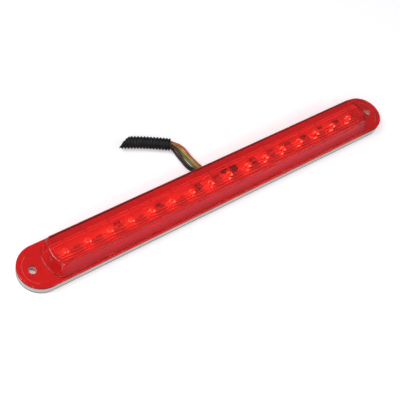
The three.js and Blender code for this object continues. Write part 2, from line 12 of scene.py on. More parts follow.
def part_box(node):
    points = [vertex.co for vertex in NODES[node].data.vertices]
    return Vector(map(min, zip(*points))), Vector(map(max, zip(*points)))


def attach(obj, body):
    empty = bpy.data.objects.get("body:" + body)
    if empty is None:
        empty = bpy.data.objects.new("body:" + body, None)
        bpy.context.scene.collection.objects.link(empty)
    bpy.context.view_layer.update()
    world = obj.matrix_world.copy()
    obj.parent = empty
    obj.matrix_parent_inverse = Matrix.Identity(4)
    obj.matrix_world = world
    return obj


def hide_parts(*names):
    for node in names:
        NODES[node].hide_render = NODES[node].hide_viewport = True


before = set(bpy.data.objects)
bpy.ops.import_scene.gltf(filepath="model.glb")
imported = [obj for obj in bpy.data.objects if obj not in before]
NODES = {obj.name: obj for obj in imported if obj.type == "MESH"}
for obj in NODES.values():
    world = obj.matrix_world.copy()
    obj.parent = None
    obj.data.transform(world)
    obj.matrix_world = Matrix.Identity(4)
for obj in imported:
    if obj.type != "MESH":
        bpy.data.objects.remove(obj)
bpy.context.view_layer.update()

MM = 0.001
BODY = "root"

# ---- driving sizes -------------------------------------------------------------------------

_, LENS_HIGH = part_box("lens")
TRAY_LOW, TRAY_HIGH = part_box("housing_tray")
GASKET_LOW, GASKET_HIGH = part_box("foam_gasket")
BOARD_LOW, BOARD_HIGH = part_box("circuit_board")
BUSH_LOW, BUSH_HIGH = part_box("wire_bush")
BUSH_MIDDLE = (BUSH_LOW.x + BUSH_HIGH.x) / 2

HALF_LENGTH = LENS_HIGH.x
HALF_WIDTH = LENS_HIGH.y
EAR_X = HALF_LENGTH - HALF_WIDTH
TOP = LENS_HIGH.z
FLANGE_BOTTOM = TRAY_HIGH.z + 0.1 * MM
FLANGE_TOP = FLANGE_BOTTOM + 2.4 * MM
LENS_WALL = 2.1 * MM
LENS_CEILING = TOP - 2.2 * MM
SLOT_X = 178.3 * MM
SLOT_HALF_WIDTH = 2.9 * MM
SLOT_HALF_LENGTH = 3.6 * MM

# Outlines with bowed ends: half length, half width, end radius, corner radius
FOOT = (167.5 * MM, 17 * MM, 24 * MM, 4 * MM)
CROWN = (163.6 * MM, 13.9 * MM, 20 * MM, 2.8 * MM)
POCKET = (164.6 * MM, 14.4 * MM, 24 * MM, 4 * MM)
BOARD = (163.4 * MM, 11.6 * MM, 24 * MM, 2 * MM)

FLUTE_YS = [-10.2 * MM, -7.8 * MM, -5.4 * MM, -3 * MM]
RIDGE_YS = [4.1 * MM, 6.4 * MM]
REAR_PAD = (7.6 * MM, 13.0 * MM)
FLUTE_HALF_WIDTH = 0.8 * MM
FLUTE_DEPTH = 0.6 * MM
FLUTE_BREAK = 4.5 * MM
RIDGE_BREAK = 0.5 * MM

LED_COUNT = 16
LED_PITCH = 20 * MM
LED_XS = [(index - (LED_COUNT - 1) / 2) * LED_PITCH for index in range(LED_COUNT)]
LED_RADIUS = 2.5 * MM
LED_RIM_RADIUS = 2.9 * MM
LED_HEIGHT = 8.6 * MM
# The cup's place also sets where its glowing chip shows as a painted glint
CUP_X = -0.2 * MM
CUP_Z = 6.0 * MM
POST_HALF_WIDTH = 0.25 * MM
POST_START = 0.2 * MM

# Bush: a plug in the tray's notch, a higher step at the wall, and a lip outside
BUSH_HALF_WIDTH = 7.6 * MM
BUSH_BOTTOM = 3.5 * MM
BUSH_PLUG_TOP = 6.2 * MM
BUSH_STEP_TOP = 7.3 * MM
BUSH_STEP_Y = 17.3 * MM
WIRE_HOLE_RADIUS = 1.2 * MM
NOTCH_HALF_WIDTH = 7.8 * MM
NOTCH_BOTTOM = 3.3 * MM

# Tray floor, the ribs on it that carry the board, and the board's screw holes
TRAY_FLOOR = 4.3 * MM
SUPPORT_XS = [x * MM for x in (-120, -80, -40, 40, 80, 120)]
SUPPORT_HALF_WIDTH = 0.8 * MM
SUPPORT_HALF_LENGTH = 9 * MM
SCREW_X = 160 * MM
SCREW_HOLE_RADIUS = 1.6 * MM

CORNER_STEPS = 8
BOW_STEPS = 40


# ---- outlines and meshes -------------------------------------------------------------------

def arc(x, y, radius, start, end, steps):
    angles = [start + (end - start) * step / steps for step in range(steps + 1)]
    return [(x + radius * math.cos(a), y + radius * math.sin(a)) for a in angles]


def both_ends(half):
    return half + [(-x, -y) for x, y in half]


def stadium(half_length, half_width, steps=2 * CORNER_STEPS + BOW_STEPS):
    quarter = math.pi / 2
    return both_ends(arc(half_length - half_width, 0, half_width, -quarter, quarter, steps))


def bowed(outline, offset=0.0):
    half_length, half_width, bow, corner = [value + offset for value in outline]
    bow_x = half_length - bow
    corner_y = half_width - corner
    corner_x = bow_x + math.sqrt((bow - corner) ** 2 - corner_y ** 2)
    turn = math.atan2(corner_y, corner_x - bow_x)
    half = arc(corner_x, -corner_y, corner, -math.pi / 2, -turn, CORNER_STEPS)
    half += arc(bow_x, 0, bow, -turn, turn, BOW_STEPS)[1:-1]
    half += arc(corner_x, corner_y, corner, turn, math.pi / 2, CORNER_STEPS)
    return both_ends(half)


def grown_stadium(half_length, half_width):
    """A function that gives the stadium's outline for any growth."""
    return lambda grow: stadium(half_length + grow, half_width + grow)


def grown_bowed(outline, offset=0.0):
    """A function that gives the bowed outline for any growth beyond offset."""
    return lambda grow: bowed(outline, grow + offset)


def blend_outlines(low, high, share):
    return tuple(a + (b - a) * share for a, b in zip(low, high))


def new_object(name, bm, smooth_angle=30):
    """A mesh object from bm, smooth except across edges sharper than smooth_angle degrees."""
    bmesh.ops.recalc_face_normals(bm, faces=bm.faces)
    mesh = bpy.data.meshes.new(name)
    bm.to_mesh(mesh)
    bm.free()
    piece = bpy.data.objects.new(name, mesh)
    bpy.context.scene.collection.objects.link(piece)
    shade(piece, smooth_angle)
    return piece


def shade(piece, smooth_angle=30):
    bm = bmesh.new()
    bm.from_mesh(piece.data)
    limit = math.radians(smooth_angle)
    for face in bm.faces:
        face.smooth = True
    for edge in bm.edges:
        edge.smooth = edge.is_manifold and edge.calc_face_angle(0) < limit
    bm.to_mesh(piece.data)
    bm.free()


def add_rings(bm, rings):
    """Closed solid through rings of equal point counts, with flat ends."""
    loops = [[bm.verts.new(point) for point in ring] for ring in rings]
    count = len(loops[0])
    for below, above in zip(loops, loops[1:]):
        for i in range(count):
            j = (i + 1) % count
            bm.faces.new((below[i], below[j], above[j], above[i]))
    bm.faces.new(reversed(loops[0]))
    bm.faces.new(loops[-1])


def loft(name, levels):
    """Solid through flat outlines, each (z, outline)."""
    bm = bmesh.new()
    add_rings(bm, [[(x, y, z) for x, y in outline] for z, outline in levels])
    return new_object(name, bm)


def add_lathe(bm, profile, segments, matrix=Matrix.Identity(4)):
    """Solid of revolution about Z from (radius, z) pairs that start and end on the axis."""
    low = bm.verts.new(matrix @ Vector((0, 0, profile[0][1])))
    high = bm.verts.new(matrix @ Vector((0, 0, profile[-1][1])))
    loops = []
    for radius, z in profile[1:-1]:
        turn = [2 * math.pi * i / segments for i in range(segments)]
        points = [(radius * math.cos(a), radius * math.sin(a), z) for a in turn]
        loops.append([bm.verts.new(matrix @ Vector(point)) for point in points])
    for i in range(segments):
        j = (i + 1) % segments
        bm.faces.new((low, loops[0][j], loops[0][i]))
        bm.faces.new((high, loops[-1][i], loops[-1][j]))
        for below, above in zip(loops, loops[1:]):
            bm.faces.new((below[i], below[j], above[j], above[i]))


def add_box(bm, low, high, bevel=0.0, segments=2):
    """Box between two corners, its edges rounded by bevel."""
    centre = [(a + b) / 2 for a, b in zip(low, high)]
    size = [b - a for a, b in zip(low, high)]
    matrix = Matrix.Translation(centre) @ Matrix.Diagonal((*size, 1))
    made = bmesh.ops.create_cube(bm, size=1, matrix=matrix)
    if bevel > 0:
        edges = list({edge for vert in made["verts"] for edge in vert.link_edges})
        bmesh.ops.bevel(bm, geom=edges, offset=bevel, segments=segments, affect="EDGES",
                        profile=0.5)


def smooth_path(points, per_span):
    """Points of a Catmull-Rom curve through the given points."""
    points = [Vector(point) for point in points]
    padded = [2 * points[0] - points[1]] + points + [2 * points[-1] - points[-2]]
    path = []
    for a, b, c, d in zip(padded, padded[1:], padded[2:], padded[3:]):
        for step in range(per_span):
            t = step / per_span
            path.append(0.5 * (2 * b + (c - a) * t + (2 * a - 5 * b + 4 * c - d) * t ** 2
                               + (3 * b - a - 3 * c + d) * t ** 3))
    return path + [points[-1]]


def path_frames(path):
    """(point, side, up) at each point of a path, turned as little as possible along it."""
    frames = []
    up = Vector((0, 0, 1))
    for i, point in enumerate(path):
        ahead = (path[min(i + 1, len(path) - 1)] - path[max(i - 1, 0)]).normalized()
        side = ahead.cross(up)
        if side.length < 0.1:
            side = ahead.cross(Vector((0, 1, 0)))
        side.normalize()
        up = side.cross(ahead).normalized()
        frames.append((point, side, up))
    return frames


def add_tube(bm, points, radius, sides=12, per_span=6):
    """Round rod along a smooth path, with flat ends."""
    rings = []
    for point, side, up in path_frames(smooth_path(points, per_span)):
        turn = [2 * math.pi * i / sides for i in range(sides)]
        rings.append([point + radius * (math.cos(a) * side + math.sin(a) * up) for a in turn])
    add_rings(bm, rings)


def boolean(piece, tool, operation):
    """Joins or cuts piece with tool, and removes the tool."""
    modifier = piece.modifiers.new(operation, "BOOLEAN")
    modifier.operation = operation
    modifier.solver = "EXACT"
    modifier.object = tool
    bpy.context.view_layer.update()
    graph = bpy.context.evaluated_depsgraph_get()
    result = bpy.data.meshes.new_from_object(piece.evaluated_get(graph))
    piece.modifiers.clear()
    piece.data = result
    bpy.data.objects.remove(tool)


def finish_piece(piece, material, nodes=()):
    """Gives the piece its material and slot, puts it on the body, and hides the nodes it replaces."""
    if material is not None:
        piece.data.materials.clear()
        piece.data.materials.append(material)
    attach(piece, BODY)
    if nodes:
        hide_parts(*nodes)
    return piece


# ---- camera --------------------------------------------------------------------------------

CAMERA_AZIMUTH = math.radians(-53.85)
CAMERA_ELEVATION = math.radians(56.4)
CAMERA_ROLL = math.radians(23.15)
CAMERA_DISTANCE = 690 * MM
CAMERA_LENS = 72.0
TARGET_RIGHT = -15.93 * MM
TARGET_UP = -14.82 * MM


def add_camera():
    level = math.cos(CAMERA_ELEVATION)
    back = Vector((math.sin(CAMERA_AZIMUTH) * level, -math.cos(CAMERA_AZIMUTH) * level,
                   math.sin(CAMERA_ELEVATION)))
    right = (-back).cross(Vector((0, 0, 1))).normalized()
    up = right.cross(-back)
    turned_right = math.cos(CAMERA_ROLL) * right + math.sin(CAMERA_ROLL) * up
    turned_up = math.cos(CAMERA_ROLL) * up - math.sin(CAMERA_ROLL) * right
    data = bpy.data.cameras.new("camera")
    data.lens = CAMERA_LENS
    data.sensor_width = 36.0
    data.clip_start = 0.01
    camera = bpy.data.objects.new("camera", data)
    bpy.context.scene.collection.objects.link(camera)
    place = (Vector((0, 0, FLANGE_BOTTOM)) + CAMERA_DISTANCE * back
             + TARGET_RIGHT * turned_right + TARGET_UP * turned_up)
    camera.matrix_world = Matrix((
        (turned_right.x, turned_up.x, back.x, place.x),
        (turned_right.y, turned_up.y, back.y, place.y),
        (turned_right.z, turned_up.z, back.z, place.z),
        (0, 0, 0, 1),
    ))
    bpy.context.scene.camera = camera


# ---- materials -----------------------------------------------------------------------------

def new_material(name, color, roughness, metallic=0.0, **sockets):
    """A Principled material. Other sockets are named with underscores for spaces."""
    material = bpy.data.materials.new(name)
    material.use_nodes = True
    shader = material.node_tree.nodes["Principled BSDF"]
    shader.inputs["Base Color"].default_value = (*color, 1)
    shader.inputs["Roughness"].default_value = roughness
    shader.inputs["Metallic"].default_value = metallic
    for socket, value in sockets.items():
        shader.inputs[socket.replace("_", " ")].default_value = value
    return material


def texture(material, kind, scale, detail=2.0):
    """A procedural texture node of the object's own coordinates."""
    tree = material.node_tree
    coordinates = tree.nodes.new("ShaderNodeTexCoord")
    node = tree.nodes.new(kind)
    node.inputs["Scale"].default_value = scale
    if "Detail" in node.inputs:
        node.inputs["Detail"].default_value = detail
    tree.links.new(coordinates.outputs["Object"], node.inputs["Vector"])
    return node


def noise(material, scale, detail):
    return texture(material, "ShaderNodeTexNoise", scale, detail)


def value_of(node):
    return node.outputs["Fac"] if "Fac" in node.outputs else node.outputs["Distance"]


def add_bump(material, node, strength, distance):
    tree = material.node_tree
    bump = tree.nodes.new("ShaderNodeBump")
    bump.inputs["Strength"].default_value = strength
    bump.inputs["Distance"].default_value = distance
    tree.links.new(value_of(node), bump.inputs["Height"])
    shader = tree.nodes["Principled BSDF"]
    if shader.inputs["Normal"].is_linked:
        tree.links.new(shader.inputs["Normal"].links[0].from_socket, bump.inputs["Normal"])
    tree.links.new(bump.outputs["Normal"], shader.inputs["Normal"])


def add_roughness(material, node, low, high):
    tree = material.node_tree
    spread = tree.nodes.new("ShaderNodeMapRange")
    spread.inputs["From Min"].default_value = 0.3
    spread.inputs["From Max"].default_value = 0.7
    spread.inputs["To Min"].default_value = low
    spread.inputs["To Max"].default_value = high
    tree.links.new(value_of(node), spread.inputs["Value"])
    shader = tree.nodes["Principled BSDF"]
    tree.links.new(spread.outputs["Result"], shader.inputs["Roughness"])


def add_colours(material, source, stops, interpolation="LINEAR"):
    """Base colour from a ramp of (place, colour) stops read along source."""
    tree = material.node_tree
    ramp = tree.nodes.new("ShaderNodeValToRGB")
    ramp.color_ramp.interpolation = interpolation
    while len(ramp.color_ramp.elements) < len(stops):
        ramp.color_ramp.elements.new(1.0)
    for element, (place, color) in zip(ramp.color_ramp.elements, stops):
        element.position = place
        element.color = (*color, 1)
    tree.links.new(source, ramp.inputs["Fac"])
    shader = tree.nodes["Principled BSDF"]
    tree.links.new(ramp.outputs["Color"], shader.inputs["Base Color"])


def wall_tint(color):
    """The share of light that one surface of a wall lets through: two make up the wall's color."""
    return [0.95 * math.sqrt(channel) for channel in color]


def let_lamps_through(material, color):
    """Shadow rays pass this glass, tinted by color at each surface."""
    tree = material.node_tree
    path = tree.nodes.new("ShaderNodeLightPath")
    clear = tree.nodes.new("ShaderNodeBsdfTransparent")
    clear.inputs["Color"].default_value = (*color, 1)
    mix = tree.nodes.new("ShaderNodeMixShader")
    output = tree.nodes["Material Output"]
    tree.links.new(path.outputs["Is Shadow Ray"], mix.inputs["Fac"])
    tree.links.new(tree.nodes["Principled BSDF"].outputs["BSDF"], mix.inputs[1])
    tree.links.new(clear.outputs["BSDF"], mix.inputs[2])
    tree.links.new(mix.outputs["Shader"], output.inputs["Surface"])


def make_red_acrylic():
    color = (0.80, 0.07, 0.065)
    material = new_material("red_acrylic", color, 0.04, IOR=1.49, Transmission_Weight=0.92)
    add_roughness(material, noise(material, 90, 3), 0.02, 0.07)
    add_bump(material, noise(material, 45, 2), 0.05, 0.2 * MM)
    let_lamps_through(material, wall_tint(color))
    return material


def make_satin_acrylic():
    """The lens's inner faces, moulded with a fine texture that blurs what is behind them."""
    color = (0.60, 0.018, 0.04)
    material = new_material("satin_acrylic", color, 0.4, IOR=1.49, Transmission_Weight=0.45)
    add_roughness(material, noise(material, 220, 3), 0.32, 0.5)
    add_bump(material, noise(material, 900, 2), 0.2, 0.1 * MM)
    let_lamps_through(material, wall_tint(color))
    return material


def make_ridge_acrylic(name, color, see_through, low, high):
    """Ridges under the lens top, which scatter the light."""
    material = new_material(name, color, high, IOR=1.49, Transmission_Weight=see_through)
    add_roughness(material, noise(material, 400, 3), low, high)
    let_lamps_through(material, (0.9, 0.2, 0.2))
    return material


def make_painted_glint_die():
    """The chip in each diode's cup and the bond on its other post, made to glow as painted glints though
    the diodes are not lit.
    """
    return new_material("painted_glint_die", (0.9, 0.5, 0.3), 0.2, Emission_Color=(1.0, 0.6, 0.36, 1),
                        Emission_Strength=120.0)


def make_led_epoxy():
    color = (1.0, 0.42, 0.28)
    material = new_material("led_epoxy", color, 0.03, IOR=1.53, Transmission_Weight=0.7)
    add_roughness(material, noise(material, 900, 2), 0.02, 0.05)
    let_lamps_through(material, wall_tint(color))
    return material


def make_tray_plastic():
    material = new_material("tray_plastic", (0.61, 0.56, 0.52), 0.45)
    cloud = noise(material, 35, 4)
    add_colours(material, value_of(cloud), [(0.3, (0.58, 0.53, 0.49)), (0.7, (0.64, 0.59, 0.55))])
    add_roughness(material, noise(material, 400, 3), 0.35, 0.55)
    add_bump(material, noise(material, 2600, 2), 0.25, 0.05 * MM)
    return material


def make_foam():
    material = new_material("gasket_foam", (0.34, 0.37, 0.34), 0.9)
    cells = texture(material, "ShaderNodeTexVoronoi", 1500)
    add_colours(material, value_of(cells), [(0.0, (0.42, 0.45, 0.42)), (0.8, (0.28, 0.31, 0.29))])
    add_bump(material, cells, 0.6, 0.15 * MM)
    return material


def make_rubber():
    material = new_material("black_rubber", (0.022, 0.022, 0.023), 0.65)
    add_roughness(material, noise(material, 500, 3), 0.55, 0.8)
    add_bump(material, noise(material, 3000, 2), 0.2, 0.04 * MM)
    return material


def make_silicone():
    material = new_material("pale_silicone", (0.55, 0.53, 0.50), 0.5)
    add_roughness(material, noise(material, 500, 3), 0.42, 0.62)
    add_bump(material, noise(material, 3000, 2), 0.2, 0.04 * MM)
    return material


MASK_PALE = (0.60, 0.56, 0.49)
DARK_BETWEEN_DIODES = (0.27, 0.25, 0.21)


def make_laminate():
    """Pale solder mask, darker in a patch between each two diodes."""
    material = new_material("board_laminate", MASK_PALE, 0.35)
    tree = material.node_tree
    coordinates = tree.nodes.new("ShaderNodeTexCoord")
    split = tree.nodes.new("ShaderNodeSeparateXYZ")
    tree.links.new(coordinates.outputs["Object"], split.inputs["Vector"])
    across = banded_share(tree, split.outputs["Y"], LED_PITCH, -1.2 * MM, 0.12, 0.22)
    along = banded_share(tree, split.outputs["X"], LED_PITCH, 0.0, 0.20, 0.30)
    both = tree.nodes.new("ShaderNodeMath")
    both.operation = "MULTIPLY"
    tree.links.new(along, both.inputs[0])
    tree.links.new(across, both.inputs[1])
    add_colours(material, both.outputs["Value"], [(0.0, MASK_PALE), (1.0, DARK_BETWEEN_DIODES)])
    add_roughness(material, noise(material, 600, 3), 0.3, 0.5)
    add_bump(material, noise(material, 1800, 2), 0.15, 0.04 * MM)
    return material


def banded_share(tree, source, pitch, centre, solid, fade):
    """Near 1 within solid pitches of each band's centre, falling to 0 at fade pitches."""
    shift = tree.nodes.new("ShaderNodeMath")
    shift.operation = "MULTIPLY_ADD"
    shift.inputs[1].default_value = 1 / pitch
    shift.inputs[2].default_value = -centre / pitch
    tree.links.new(source, shift.inputs[0])
    bounce = tree.nodes.new("ShaderNodeMath")
    bounce.operation = "PINGPONG"
    bounce.inputs[1].default_value = 0.5
    tree.links.new(shift.outputs["Value"], bounce.inputs[0])
    spread = tree.nodes.new("ShaderNodeMapRange")
    spread.inputs["From Min"].default_value = fade
    spread.inputs["From Max"].default_value = solid
    tree.links.new(bounce.outputs["Value"], spread.inputs["Value"])
    return spread.outputs["Result"]


def make_metal(name, color, low, high, grain):
    material = new_material(name, color, low, metallic=1.0)
    add_roughness(material, noise(material, grain, 4), low, high)
    add_bump(material, noise(material, 3 * grain, 2), 0.15, 0.03 * MM)
    return material


def make_insulation(name, color):
    material = new_material(name, color, 0.35, Specular_IOR_Level=0.5)
    darker = [0.8 * channel for channel in color]
    lighter = [min(1, 1.12 * channel + 0.004) for channel in color]
    cloud = noise(material, 260, 3)
    add_colours(material, value_of(cloud), [(0.3, darker), (0.7, lighter)])
    add_roughness(material, noise(material, 700, 3), 0.28, 0.45)
    add_bump(material, noise(material, 1500, 2), 0.12, 0.05 * MM)
    return material


def make_conduit_plastic():
    material = new_material("conduit_plastic", (0.008, 0.008, 0.009), 0.4, Specular_IOR_Level=0.35)
    cloud = noise(material, 220, 4)
    add_colours(material, value_of(cloud), [(0.35, (0.006, 0.006, 0.007)), (0.75, (0.014, 0.014, 0.014))])
    add_roughness(material, noise(material, 800, 3), 0.3, 0.5)
    add_bump(material, noise(material, 2500, 2), 0.12, 0.04 * MM)
    return material


def make_moulded_black(name):
    material = new_material(name, (0.07, 0.065, 0.065), 0.4)
    add_roughness(material, noise(material, 900, 3), 0.3, 0.55)
    add_bump(material, noise(material, 4000, 2), 0.2, 0.03 * MM)
    return material


def make_banded(name, body, bands, half_length):
    """Lacquered body with colour bands across its own X. bands are (start, end, colour) in mm."""
    material = new_material(name, body, 0.25, Coat_Weight=0.3)
    stops = [(0.0, body)]
    for start, end, color in bands:
        stops.append((0.5 + start * MM / (2 * half_length), color))
        stops.append((0.5 + end * MM / (2 * half_length), body))
    tree = material.node_tree
    coordinates = tree.nodes.new("ShaderNodeTexCoord")
    split = tree.nodes.new("ShaderNodeSeparateXYZ")
    spread = tree.nodes.new("ShaderNodeMapRange")
    spread.inputs["From Min"].default_value = -half_length
    spread.inputs["From Max"].default_value = half_length
    tree.links.new(coordinates.outputs["Object"], split.inputs["Vector"])
    tree.links.new(split.outputs["X"], spread.inputs["Value"])
    add_colours(material, spread.outputs["Result"], stops, "CONSTANT")
    add_roughness(material, noise(material, 1200, 2), 0.2, 0.32)
    return material


def make_floor_white():
    material = new_material("studio_floor", (0.92, 0.92, 0.92), 0.9, Specular_IOR_Level=0.1,
                            Emission_Color=(1, 1, 1, 1), Emission_Strength=0.34)
    cloud = noise(material, 3, 2)
    add_colours(material, value_of(cloud), [(0.3, (0.90, 0.90, 0.90)), (0.7, (0.93, 0.93, 0.93))])
    return material


# ---- the lead ------------------------------------------------------------------------------

WIRE_DIAMETER = 2.2 * MM
WIRES = {
    "wire_black": {
        "color": (0.014, 0.012, 0.012),
        "route": [(-12.4, 20.5, 4.9), (-12.6, 23.5, 3.9), (-12.9, 26.5, 2.5), (-13.2, 30, 1.6),
                  (-13.4, 33.5, 1.3), (-13.6, 37, 1.2), (-13.9, 40.5, 1.3), (-14.2, 44, 1.8),
                  (-14.8, 47.5, 2.8), (-16, 50.8, 3.6), (-18.2, 53.2, 3.9), (-21.7, 55.4, 3.9),
                  (-28.4, 59.4, 3.9), (-34.4, 62.8, 3.9), (-40.6, 66.1, 3.9), (-47.6, 69.5, 3.9)],
        "length": 68.5,
    },
    "wire_brown": {
        "color": (0.06, 0.03, 0.018),
        "route": [(-10, 20.5, 4.9), (-10.1, 23.5, 3.9), (-10.5, 26.5, 2.5), (-10.8, 30, 1.6),
                  (-11, 33.5, 1.3), (-11.2, 37, 1.3), (-11.6, 40.5, 1.8), (-12.2, 44, 3),
                  (-13.3, 47.3, 4.8), (-15.5, 50, 6.1), (-18.4, 52.3, 6.4), (-22.1, 54.7, 6.4),
                  (-28.8, 58.7, 6.4), (-34.8, 62.1, 6.4), (-41, 65.4, 6.4), (-48.6, 69.1, 6.4)],
        "length": 70.5,
    },
    "wire_green": {
        "color": (0.14, 0.19, 0.03),
        "route": [(-7.6, 20.5, 4.9), (-7.5, 23.5, 3.9), (-7.4, 26.5, 2.5), (-7.4, 30, 1.6),
                  (-7.7, 33.5, 1.2), (-8.2, 37, 1.2), (-8.8, 40.5, 1.2), (-9.5, 44, 1.5),
                  (-10.5, 47.7, 2.3), (-12.4, 51.6, 3.2), (-15.6, 54.4, 3.8), (-20.3, 57.6, 3.9),
                  (-27, 61.6, 3.9), (-33.2, 65, 3.9), (-39.4, 68.3, 3.9), (-44.5, 70.9, 3.9)],
        "length": 70.3,
    },
    "wire_yellow": {
        "color": (0.46, 0.29, 0.07),
        "route": [(-5.2, 20.5, 4.9), (-5.1, 23.5, 4.2), (-5.2, 26.5, 3.4), (-5.5, 30, 3.1),
                  (-6.1, 33.5, 3), (-6.9, 37, 3.1), (-7.7, 40.5, 3.3), (-8.5, 44, 3.8),
                  (-9.5, 47.8, 4.8), (-11.4, 52, 6), (-14.6, 55.3, 6.4), (-19.9, 58.3, 6.4),
                  (-26.6, 62.3, 6.4), (-32.8, 65.7, 6.4), (-39, 69, 6.4), (-43.6, 71.3, 6.4)],
        "length": 70.7,
    },
    "wire_orange": {
        "color": (0.42, 0.13, 0.02),
        "route": [(-2.8, 20.5, 4.9), (-2.7, 23.5, 4), (-2.9, 26.5, 2.8), (-3.2, 30, 2.4),
                  (-3.8, 33.5, 2.3), (-4.5, 37, 2.6), (-5.3, 40.6, 3.9), (-6.7, 44.2, 5.7),
                  (-9, 47.6, 7.1), (-12, 50.6, 8), (-15.9, 53.3, 8.1), (-21, 56.5, 8),
                  (-27.7, 60.5, 7.9), (-33.8, 63.9, 7.9), (-40, 67.2, 7.9), (-46, 70.2, 7.9)],
        "length": 73.3,
    },
}

CONDUIT_ROUTE = [(-15.9, 53.4, 5.7), (-27.7, 60.5, 5.7), (-40, 67.2, 5.7), (-60, 76.8, 5.7)]
CONDUIT_CREST = 5.6 * MM
CONDUIT_VALLEY = 4.55 * MM
CONDUIT_THICKNESS = 0.4 * MM
CONDUIT_PITCH = 2.8 * MM
CONDUIT_SLIT_AT = math.radians(-65)
CONDUIT_SLIT_HALF_ANGLE = math.radians(2.0)
CONDUIT_CUT_CENTRE = Vector((-50.2, 72.4, 5.7)) * MM
CONDUIT_CUT_ANGLE = math.radians(110)


def add_wire(name, copper):
    facts = WIRES[name]
    route = [Vector(point) * MM for point in facts["route"]]
    curve = bpy.data.curves.new(name + "_jacket", "CURVE")
    curve.dimensions = "3D"
    curve.bevel_depth = WIRE_DIAMETER / 2
    curve.bevel_resolution = 5
    curve.resolution_u = 8
    curve.use_fill_caps = True
    spline = curve.splines.new("BEZIER")
    spline.bezier_points.add(len(route) - 1)
    for knot, point in zip(spline.bezier_points, route):
        knot.co = point
        knot.handle_left_type = "AUTO"
        knot.handle_right_type = "AUTO"
    jacket = bpy.data.objects.new(name + "_jacket", curve)
    bpy.context.scene.collection.objects.link(jacket)
    curve.materials.append(make_insulation(name + "_vinyl", facts["color"]))
    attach(jacket, BODY)
    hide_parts(name)
    core = add_wire_core(name, route, copper)
    return jacket, core


def add_wire_core(name, route, copper):
    """Seven copper strands that show at the wire's cut end."""
    ahead = (route[-1] - route[-2]).normalized()
    side = ahead.cross(Vector((0, 0, 1))).normalized()
    up = side.cross(ahead)
    strand_radius = 0.19 * MM
    bm = bmesh.new()
    centres = [Vector((0, 0, 0))]
    for i in range(6):
        angle = math.pi * i / 3
        centres.append(2.05 * strand_radius * (math.cos(angle) * side + math.sin(angle) * up))
    for centre in centres:
        start = route[-1] + centre - 0.4 * MM * ahead
        end = route[-1] + centre + 0.5 * MM * ahead
        add_tube(bm, [start, (start + end) / 2, end], strand_radius, sides=8, per_span=1)
    return finish_piece(new_object(name + "_core", bm), copper)


def conduit_radius(along):
    """Outer radius of the corrugated wall: round crests and narrower round valleys."""
    wave = math.cos(2 * math.pi * along / CONDUIT_PITCH)
    squared = math.copysign(abs(wave) ** 0.6, wave)
    middle = (CONDUIT_CREST + CONDUIT_VALLEY) / 2
    return middle + (CONDUIT_CREST - CONDUIT_VALLEY) / 2 * squared


def add_conduit(plastic):
    """Corrugated tube, slit along its length, its far end cut at a slant."""
    path = smooth_path([Vector(point) * MM for point in CONDUIT_ROUTE], 60)
    turns = 72
    start = CONDUIT_SLIT_AT + CONDUIT_SLIT_HALF_ANGLE
    sweep = 2 * math.pi - 2 * CONDUIT_SLIT_HALF_ANGLE
    angles = [start + sweep * i / turns for i in range(turns + 1)]
    bm = bmesh.new()
    rings = []
    along = 0.0
    previous = path[0]
    for point, side, up in path_frames(path):
        along += (point - previous).length
        previous = point
        outer = conduit_radius(along)
        ring = []
        for radius, order in ((outer, angles), (outer - CONDUIT_THICKNESS, angles[::-1])):
            ring += [point + radius * (math.cos(a) * side + math.sin(a) * up) for a in order]
        rings.append(ring)
    add_rings(bm, rings)
    conduit = new_object("corrugated_conduit", bm)
    size = 60 * MM
    tool_bm = bmesh.new()
    add_box(tool_bm, (0, -size / 2, -size / 2), (size, size / 2, size / 2))
    turn = Matrix.Translation(CONDUIT_CUT_CENTRE) @ Matrix.Rotation(CONDUIT_CUT_ANGLE, 4, "Z")
    bmesh.ops.transform(tool_bm, matrix=turn, verts=tool_bm.verts)
    boolean(conduit, new_object("conduit_cutter", tool_bm), "DIFFERENCE")
    shade(conduit, 50)
    return finish_piece(conduit, plastic, ["split_conduit"])


def add_bush(silicone):
    """Rubber bush: a plug in the tray's notch with a bevelled lip outside and a hole per wire."""
    lip_y = HALF_WIDTH + 0.1 * MM
    left, right = BUSH_MIDDLE - BUSH_HALF_WIDTH, BUSH_MIDDLE + BUSH_HALF_WIDTH
    bm = bmesh.new()
    add_box(bm, (left, BUSH_LOW.y, BUSH_BOTTOM), (right, BUSH_STEP_Y + 1 * MM, BUSH_PLUG_TOP),
            0.2 * MM)
    bush = new_object("rubber_bush", bm)
    bm = bmesh.new()
    add_box(bm, (left, BUSH_STEP_Y, BUSH_BOTTOM), (right, lip_y + 0.4 * MM, BUSH_STEP_TOP),
            0.2 * MM)
    boolean(bush, new_object("bush_plug", bm), "UNION")
    bm = bmesh.new()
    add_box(bm, (BUSH_LOW.x, lip_y, BUSH_LOW.z), BUSH_HIGH, 0.3 * MM, 3)
    boolean(bush, new_object("bush_lip", bm), "UNION")
    bm = bmesh.new()
    half_depth = 0.5 * MM
    hole = [(0, -half_depth), (WIRE_HOLE_RADIUS, -half_depth),
            (WIRE_HOLE_RADIUS, half_depth), (0, half_depth)]
    for facts in WIRES.values():
        x, _, z = [value * MM for value in facts["route"][0]]
        place = Matrix.Translation((x, BUSH_HIGH.y, z)) @ Matrix.Rotation(math.pi / 2, 4, "X")
        add_lathe(bm, hole, 24, place)
    boolean(bush, new_object("bush_holes", bm), "DIFFERENCE")
    shade(bush)
    return finish_piece(bush, silicone, ["wire_bush"])


# ---- lens ----------------------------------------------------------------------------------

# Places of the lens's materials: clear faces, satin inner faces, bright ridges, fine flutes
CLEAR, SATIN, RIDGE, FLUTE = range(4)


def slot_levels(levels):
    """Stadium outlines across the lamp, each (z, growth)."""
    made = []
    for z, growth in levels:
        outline = stadium(SLOT_HALF_LENGTH + growth, SLOT_HALF_WIDTH + growth, 24)
        made.append((z, [(-y, x) for x, y in outline]))
    return made


